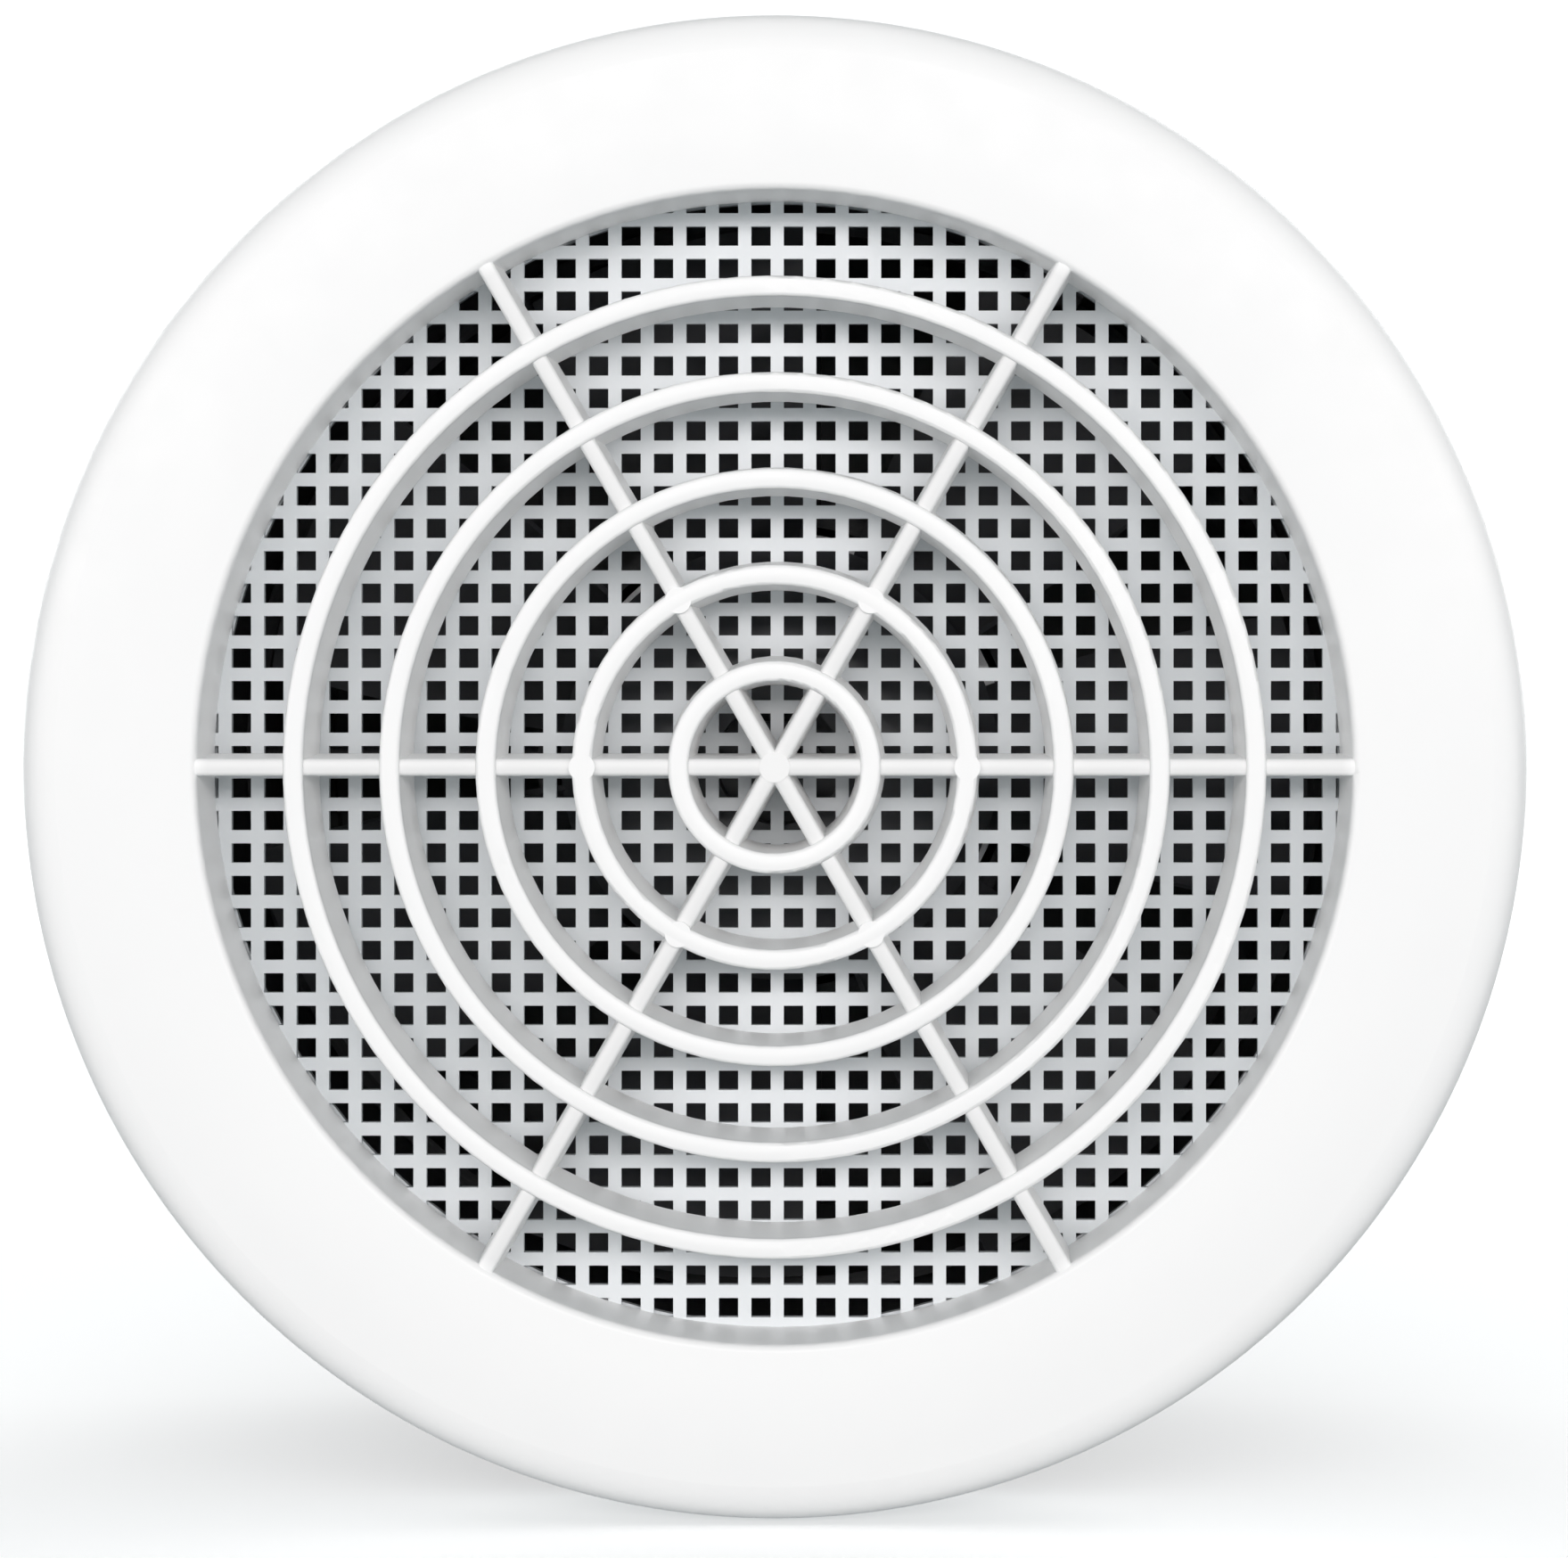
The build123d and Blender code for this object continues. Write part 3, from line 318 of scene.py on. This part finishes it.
brass = metal("brass_plated", 0.26)
machined = brass.noise(1.0, 2.0, 0.6, place=brass.around_axis(3500, 0.5, 3500))
brass.tint(machined, (0.3, 0.9), (0.7, 1.06)).rough(machined, 0.2, 0.36).bump(machined, 0.004 * MM)
surfaces["brass_plated"] = brass

slot_of = {row["node"]: row["material_slot"] for row in frame["record"]["subparts"]}
for name, node in frame["nodes"].items():
    material = surfaces[slot_of[name]].material
    if not node.material_slots:
        node.data.materials.append(material)
    for material_slot in node.material_slots:
        material_slot.material = material


# ---------------------------------------------------------------- wound springs

def wire(name, points, radius, sides=12):
    """A round wire along a path, closed at both ends."""
    mesh = bmesh.new()
    across = None
    rings = []
    for index, point in enumerate(points):
        before, after = points[max(index - 1, 0)], points[min(index + 1, len(points) - 1)]
        along = (after - before).normalized()
        if across is None:
            across = along.orthogonal()
        across = (across - along * across.dot(along)).normalized()
        other = along.cross(across)
        rings.append([
            mesh.verts.new(point + radius * (across * math.cos(turn) + other * math.sin(turn)))
            for turn in (2 * math.pi * k / sides for k in range(sides))
        ])
    for first, second in zip(rings, rings[1:]):
        for k in range(sides):
            face = mesh.faces.new((first[k], first[(k + 1) % sides], second[(k + 1) % sides], second[k]))
            face.smooth = True
    mesh.faces.new(list(reversed(rings[0])))
    mesh.faces.new(rings[-1])
    data = bpy.data.meshes.new(name)
    mesh.to_mesh(data)
    mesh.free()
    piece = bpy.data.objects.new(name, data)
    bpy.context.scene.collection.objects.link(piece)
    return piece


SPRING_PITCH = 0.64 * MM
SPRING_WIRE_R = 0.29 * MM
SPRING_CLEAR = 0.02 * MM  # how far inside the plain sleeve the coil stays
STEPS_PER_TURN = 28
LEAVE_ANGLE = math.radians(-60)  # where the coil ends and its leg begins
LEG_DROP = 1.25 * MM  # the leg lies this far in front of the pin's middle
LEG_BEND = 0.9 * MM
pin_low, pin_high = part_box("shutter_pin")
PIN_CENTRE_Y = (pin_low.y + pin_high.y) / 2


def torsion_spring(side, hand):
    """A coil round the hinge pin, with a leg that presses on the flap."""
    low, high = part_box(f"flap_spring_{hand}")
    coil_r = high.y - PIN_CENTRE_Y - SPRING_WIRE_R - SPRING_CLEAR
    length = high.z - low.z
    start = min(abs(low.z), abs(high.z)) + SPRING_WIRE_R
    stop = start + length - 3 * SPRING_WIRE_R
    leg_tip = max(abs(low.x), abs(high.x))
    leg_y = PIN_CENTRE_Y - LEG_DROP
    turns = (stop - start) / SPRING_PITCH
    steps = int(turns * STEPS_PER_TURN)
    points = []
    for step in range(steps + 1):
        angle = LEAVE_ANGLE - 2 * math.pi * turns * (1 - step / steps)
        x, y = coil_r * math.cos(angle), PIN_CENTRE_Y + coil_r * math.sin(angle)
        points.append(Vector((x, y, start + (stop - start) * step / steps)))
    leave = points[-1]
    heading = Vector((-math.sin(LEAVE_ANGLE), math.cos(LEAVE_ANGLE), 0))
    bend = leave + heading * ((leg_y - leave.y) / heading.y)
    for share in (0.25, 0.5, 0.75, 1.0):
        into = leave.lerp(bend, share)
        out_of = bend + Vector((LEG_BEND * share, 0, 0))
        points.append(into.lerp(out_of, share))
    for share in (0.1, 0.3, 0.6, 0.85, 1.0):
        points.append(Vector((points[-1].x + (leg_tip - points[-1].x) * share, leg_y, stop)))
    turned = [Vector((side * p.x, p.y, side * p.z)) for p in points]
    piece = wire(f"wound_spring_{hand}", turned, SPRING_WIRE_R)
    piece.data.materials.append(surfaces["spring_steel"].material)
    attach(piece, f"flap_{hand}")
    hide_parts(f"flap_spring_{hand}")


torsion_spring(1, "right")
torsion_spring(-1, "left")


# ---------------------------------------------------------------- studio

FLOOR_Z = cad_low.z - 0.5 * MM
STAGE_R = 4.0  # flat to here
STAGE_CURVE_R = 1.0
STAGE_TOP = 3.5
STAGE_SIDES = 96


def stage_bowl():
    """A floor that curves up into a round backdrop."""
    profile = [(0.0, 0.0)] + [(STAGE_R * step / 8, 0.0) for step in range(1, 9)]
    for step in range(1, 13):
        angle = math.radians(90 * step / 12)
        out, up = math.sin(angle), 1 - math.cos(angle)
        profile.append((STAGE_R + STAGE_CURVE_R * out, STAGE_CURVE_R * up))
    profile.append((STAGE_R + STAGE_CURVE_R, STAGE_TOP))
    mesh = bmesh.new()
    rows = []
    for radius, height in profile:
        if radius == 0:
            rows.append([mesh.verts.new((0, 0, FLOOR_Z + height))] * STAGE_SIDES)
            continue
        turns = [2 * math.pi * k / STAGE_SIDES for k in range(STAGE_SIDES)]
        rows.append([
            mesh.verts.new((radius * math.cos(turn), radius * math.sin(turn), FLOOR_Z + height))
            for turn in turns
        ])
    for lower, upper in zip(rows, rows[1:]):
        for k in range(STAGE_SIDES):
            after = (k + 1) % STAGE_SIDES
            corners = [lower[k], upper[k], upper[after], lower[after]]
            unique = [v for index, v in enumerate(corners) if v not in corners[:index]]
            if len(unique) > 2:
                mesh.faces.new(unique).smooth = True
    data = bpy.data.meshes.new("studio_floor")
    mesh.to_mesh(data)
    mesh.free()
    floor = bpy.data.objects.new("studio_floor", data)
    bpy.context.scene.collection.objects.link(floor)
    return floor


# the lamps light the floor near the fan, and the far wall needs more glow to look as white
GLOW_NEAR = 0.37
GLOW_FAR = 0.72
GLOW_PLACES = (0.3, 1.8)  # from the origin: near to here, and far from here
floor = stage_bowl()
paper = Surface("studio_paper", (0.9, 0.9, 0.9), 0.9)
paper.shader.inputs["Emission Color"].default_value = (1, 1, 1, 1)
reach = paper.node("ShaderNodeVectorMath", {0: paper.place}, operation="LENGTH").outputs["Value"]
glow = paper.spread(reach, GLOW_NEAR, GLOW_FAR, *GLOW_PLACES)
paper.tree.links.new(glow, paper.shader.inputs["Emission Strength"])
paper.tint(paper.noise(3.0, 2.0), (0.2, 0.985), (0.8, 1.015))
# seen from below, the floor doesn't hide the fan
underside = paper.node("ShaderNodeNewGeometry").outputs["Backfacing"]
clear = paper.node("ShaderNodeBsdfTransparent").outputs[0]
one_sided = paper.node("ShaderNodeMixShader", {0: underside, 1: paper.shader.outputs[0], 2: clear})
paper.tree.links.new(one_sided.outputs[0], paper.tree.nodes["Material Output"].inputs["Surface"])
floor.data.materials.append(paper.material)
# the sky stands in for the floor's bounce, so that nothing near the floor is lit unevenly
floor.visible_diffuse = False
floor.visible_shadow = False


def softbox(name, direction, distance, width, height, power, colour=(1, 1, 1)):
    """An area light that faces the fan from a direction given as (azimuth, elevation) in degrees."""
    azimuth, elevation = (math.radians(angle) for angle in direction)
    level = math.cos(elevation)
    away = Vector((math.sin(azimuth) * level, -math.cos(azimuth) * level, math.sin(elevation)))
    lamp = bpy.data.lights.new(name, "AREA")
    lamp.shape = "RECTANGLE"
    lamp.size, lamp.size_y = width, height
    lamp.energy = power
    lamp.color = colour
    holder = bpy.data.objects.new(name, lamp)
    holder.location = away * distance
    holder.rotation_mode = "QUATERNION"
    holder.rotation_quaternion = away.to_track_quat("Z", "Y")
    holder.visible_camera = False
    bpy.context.scene.collection.objects.link(holder)


softbox("key_strip", (0, 12), 3.2, 7.4, 0.60, 115.5, (1.0, 0.955, 0.946))
softbox("top_box", (0, 80), 1.3, 1.2, 1.2, 1.2)
# these two light the back and the outer wall, and of the face only the rim's outermost band
softbox("rear_box_right", (142, 22), 1.6, 1.2, 1.2, 11.0)
softbox("rear_box_left", (-145, 20), 1.6, 1.2, 1.2, 8.0)

# the sky is brighter on the room side than behind the wall, so edges darken as they turn away
SKY_FRONT = 0.36
SKY_BEHIND = 0.16
SKY_COLOUR = (0.875, 0.97, 1.0, 1.0)
BACKDROP_COLOUR = (0.93, 0.93, 0.93, 1.0)
world = bpy.data.worlds.new("studio_world")
world.use_nodes = True
bpy.context.scene.world = world
sky_nodes, sky_links = world.node_tree.nodes, world.node_tree.links
direction = sky_nodes.new("ShaderNodeSeparateXYZ")
sky_links.new(sky_nodes.new("ShaderNodeTexCoord").outputs["Generated"], direction.inputs[0])
strength = sky_nodes.new("ShaderNodeMapRange")
for socket, value in ((1, 1.0), (2, -1.0), (3, SKY_BEHIND), (4, SKY_FRONT)):
    strength.inputs[socket].default_value = value
sky_links.new(direction.outputs["Y"], strength.inputs[0])
sky = sky_nodes["Background"]
sky.inputs["Color"].default_value = SKY_COLOUR
sky_links.new(strength.outputs[0], sky.inputs["Strength"])
# where no floor is in the way the camera sees plain pale grey
backdrop = sky_nodes.new("ShaderNodeBackground")
backdrop.inputs["Color"].default_value = BACKDROP_COLOUR
either = sky_nodes.new("ShaderNodeMixShader")
sky_links.new(sky_nodes.new("ShaderNodeLightPath").outputs["Is Camera Ray"], either.inputs[0])
sky_links.new(sky.outputs[0], either.inputs[1])
sky_links.new(backdrop.outputs[0], either.inputs[2])
sky_links.new(either.outputs[0], sky_nodes["World Output"].inputs["Surface"])

view = bpy.context.scene.view_settings
view.view_transform = "Standard"
view.look = "None"
view.exposure = 0.0
view.gamma = 1.0


# ---------------------------------------------------------------- camera

CAMERA_DISTANCE = 0.45  # from the foremost plane of the face
FRAME_WIDTH = 0.1493  # what the frame takes in, across that plane
FRAME_CENTRE = Vector((0.00091, 0, -0.00110))
CAMERA_ASIDE = 0.010
CAMERA_ABOVE = 0.012
SENSOR = 36.0  # millimetres, as Blender's lens is

lens = bpy.data.cameras.new("photo_camera")
lens.type = "PERSP"
lens.sensor_width = SENSOR
lens.lens = SENSOR * CAMERA_DISTANCE / FRAME_WIDTH
lens.shift_x = (FRAME_CENTRE.x - CAMERA_ASIDE) / FRAME_WIDTH
lens.shift_y = (FRAME_CENTRE.z - CAMERA_ABOVE) / FRAME_WIDTH
lens.clip_start = 0.01
lens.clip_end = 20.0
camera = bpy.data.objects.new("photo_camera", lens)
camera.location = (CAMERA_ASIDE, CREST_Y - CAMERA_DISTANCE, CAMERA_ABOVE)
camera.rotation_euler = (math.radians(90), 0, 0)
bpy.context.scene.collection.objects.link(camera)
bpy.context.scene.camera = camera
